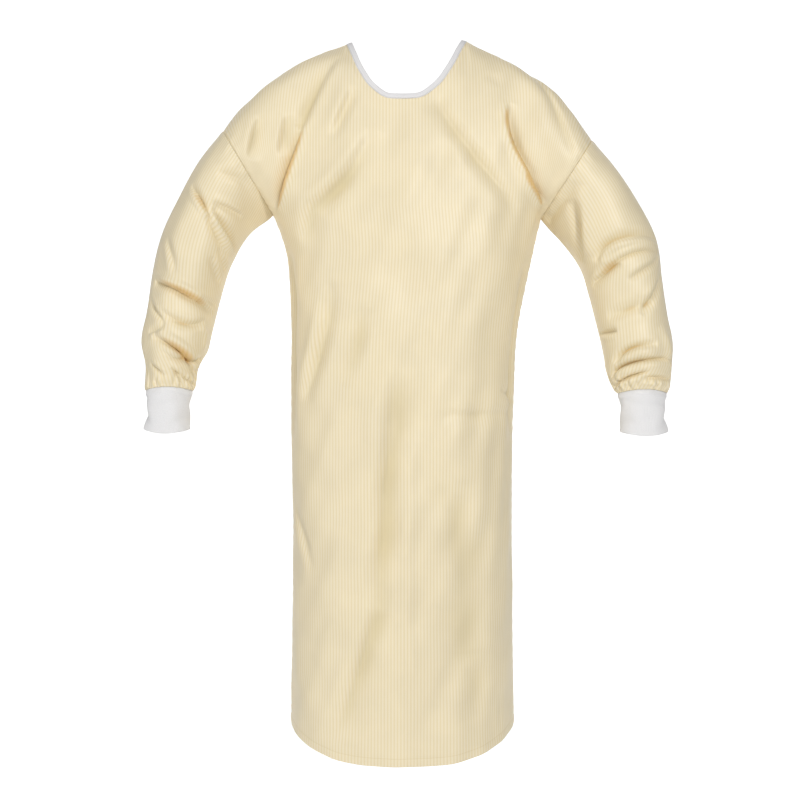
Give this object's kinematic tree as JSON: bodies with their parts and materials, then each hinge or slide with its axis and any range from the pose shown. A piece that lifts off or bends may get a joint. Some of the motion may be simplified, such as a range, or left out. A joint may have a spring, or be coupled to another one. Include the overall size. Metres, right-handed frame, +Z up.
{
  "type": "protective gown",
  "caption": "Long-sleeved striped protective gown in its worn form, with a bound round neck, knitted cuffs and a lapped back.",
  "frame": {"origin": "middle of the neck opening, level with the corners where the shoulder seams meet the neck, where the wearer's neck and shoulders hold the gown up", "axes": "+X across the gown to the right as seen from the front, +Y from front to back, +Z up"},
  "size_m": [0.8316, 0.2851, 1.1287],
  "materials": {
    "cloth": "pale yellow tightly woven polyester with narrow darker stripes, soft sheen",
    "knit": "white fine rib knit",
    "binding": "white woven strip, matt",
    "snap": "plated snap cap"
  },
  "bodies": {
    "root": {"front_panel": "cloth", "back_left_panel": "cloth", "back_right_panel": "cloth", "sleeve_left": "cloth", "sleeve_right": "cloth", "cuff_left": "knit", "cuff_right": "knit", "neck_binding": "binding", "neck_snap": "snap", "waist_snap": "snap"}
  },
  "joints": []
}
